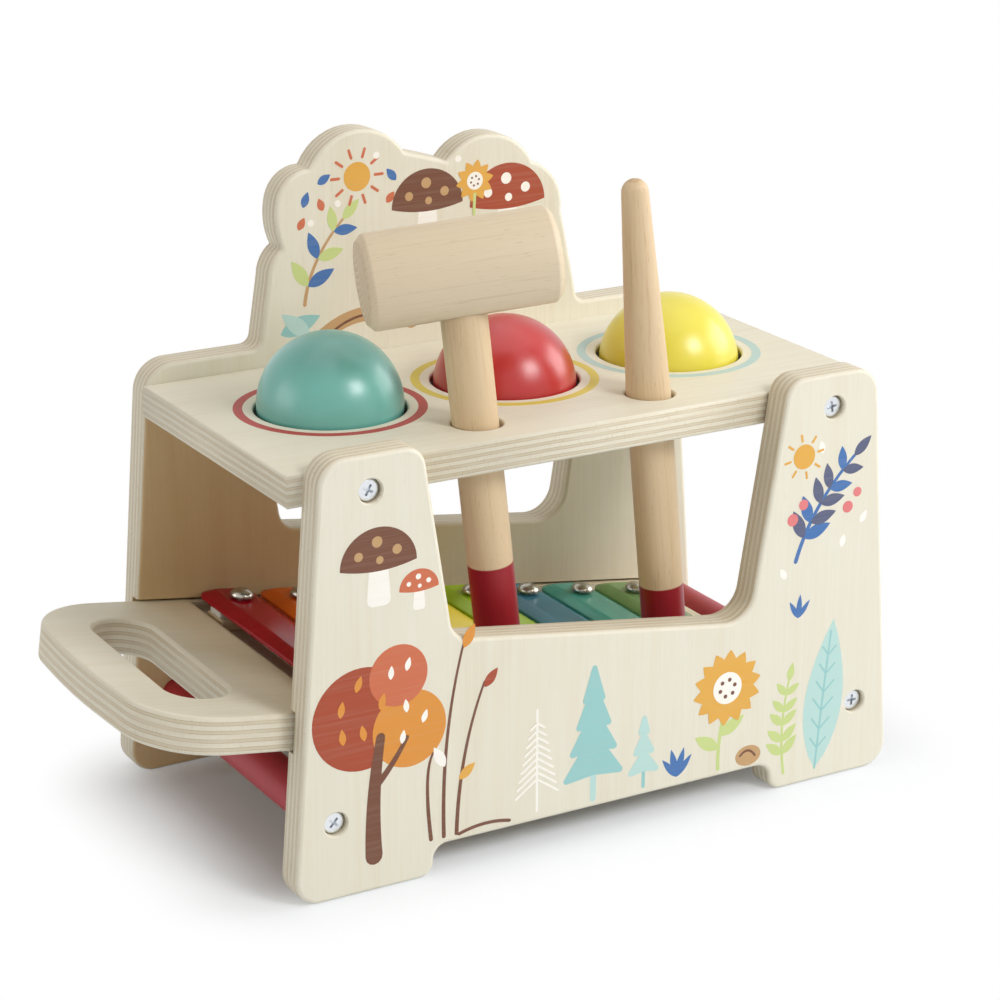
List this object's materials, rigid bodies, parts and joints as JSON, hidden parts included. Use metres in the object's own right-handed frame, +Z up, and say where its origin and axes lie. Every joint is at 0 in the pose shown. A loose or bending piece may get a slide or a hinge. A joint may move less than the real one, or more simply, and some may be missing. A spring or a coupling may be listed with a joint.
{
  "type": "xylophone pounding bench",
  "caption": "Plywood pounding bench with painted balls in holes of its top board, a hammer and a beater standing in it, and a xylophone tray that slides out below.",
  "frame": {"origin": "on the floor, in the middle of the whole outline seen from above", "axes": "+X along the bench away from the tray's grip, +Y from the front panel to the rear panel with the crown, +Z up"},
  "size_m": [0.2926, 0.14, 0.2321],
  "materials": {
    "plywood": "clear matt lacquer",
    "beech": "sanded and oiled",
    "red_paint": "satin paint",
    "ball_teal": "gloss paint",
    "ball_red": "gloss paint",
    "ball_yellow": "gloss paint",
    "rubber": "matt",
    "felt": "soft felt",
    "steel": "bright zinc",
    "bar_red": "gloss enamel",
    "bar_orange": "gloss enamel",
    "bar_amber": "gloss enamel",
    "bar_yellow": "gloss enamel",
    "bar_lime": "gloss enamel",
    "bar_slate": "gloss enamel",
    "bar_teal": "gloss enamel",
    "bar_green": "gloss enamel"
  },
  "bodies": {
    "bench": {"cross_dowel_left": "red_paint", "cross_dowel_right": "red_paint", "front_panel": "plywood", "grip_ring_left": "rubber", "grip_ring_middle": "rubber", "grip_ring_right": "rubber", "rear_panel": "plywood", "screw_front_low_left": "steel", "screw_front_low_right": "steel", "screw_front_top_left": "steel", "screw_front_top_right": "steel", "screw_rear_low_left": "steel", "screw_rear_low_right": "steel", "screw_rear_top_left": "steel", "screw_rear_top_right": "steel", "top_board": "plywood"},
    "tray": {"bar_1": "bar_red", "bar_2": "bar_orange", "bar_3": "bar_amber", "bar_4": "bar_yellow", "bar_5": "bar_lime", "bar_6": "bar_slate", "bar_7": "bar_teal", "bar_8": "bar_green", "bar_pin_front_1": "steel", "bar_pin_front_2": "steel", "bar_pin_front_3": "steel", "bar_pin_front_4": "steel", "bar_pin_front_5": "steel", "bar_pin_front_6": "steel", "bar_pin_front_7": "steel", "bar_pin_front_8": "steel", "bar_pin_rear_1": "steel", "bar_pin_rear_2": "steel", "bar_pin_rear_3": "steel", "bar_pin_rear_4": "steel", "bar_pin_rear_5": "steel", "bar_pin_rear_6": "steel", "bar_pin_rear_7": "steel", "bar_pin_rear_8": "steel", "bar_rail_front": "beech", "bar_rail_rear": "beech", "felt_strip_front": "felt", "felt_strip_rear": "felt", "tray": "plywood"},
    "ball_left": {"ball_left": "ball_teal"},
    "ball_middle": {"ball_middle": "ball_red"},
    "ball_right": {"ball_right": "ball_yellow"},
    "hammer": {"hammer_handle": "beech", "hammer_head": "beech"},
    "beater": {"beater": "beech"}
  },
  "joints": [
    {"name": "tray_slide", "type": "slide", "parent": "bench", "child": "tray", "axis": [-0.9895, 0, 0.1444], "range_m": [0, 0.225]},
    {"name": "ball_left_drop", "type": "slide", "parent": "bench", "child": "ball_left", "axis": [0, 0, -1], "range_m": [0, 0.0564]},
    {"name": "ball_middle_drop", "type": "slide", "parent": "bench", "child": "ball_middle", "axis": [0, 0, -1], "range_m": [0, 0.0631]},
    {"name": "ball_right_drop", "type": "slide", "parent": "bench", "child": "ball_right", "axis": [0, 0, -1], "range_m": [0, 0.072]},
    {"name": "hammer_lift", "type": "slide", "parent": "bench", "child": "hammer", "axis": [-0.1149, 0, 0.9934], "range_m": [0, 0.095]},
    {"name": "beater_lift", "type": "slide", "parent": "bench", "child": "beater", "axis": [-0.0976, 0, 0.9952], "range_m": [0, 0.105]}
  ]
}
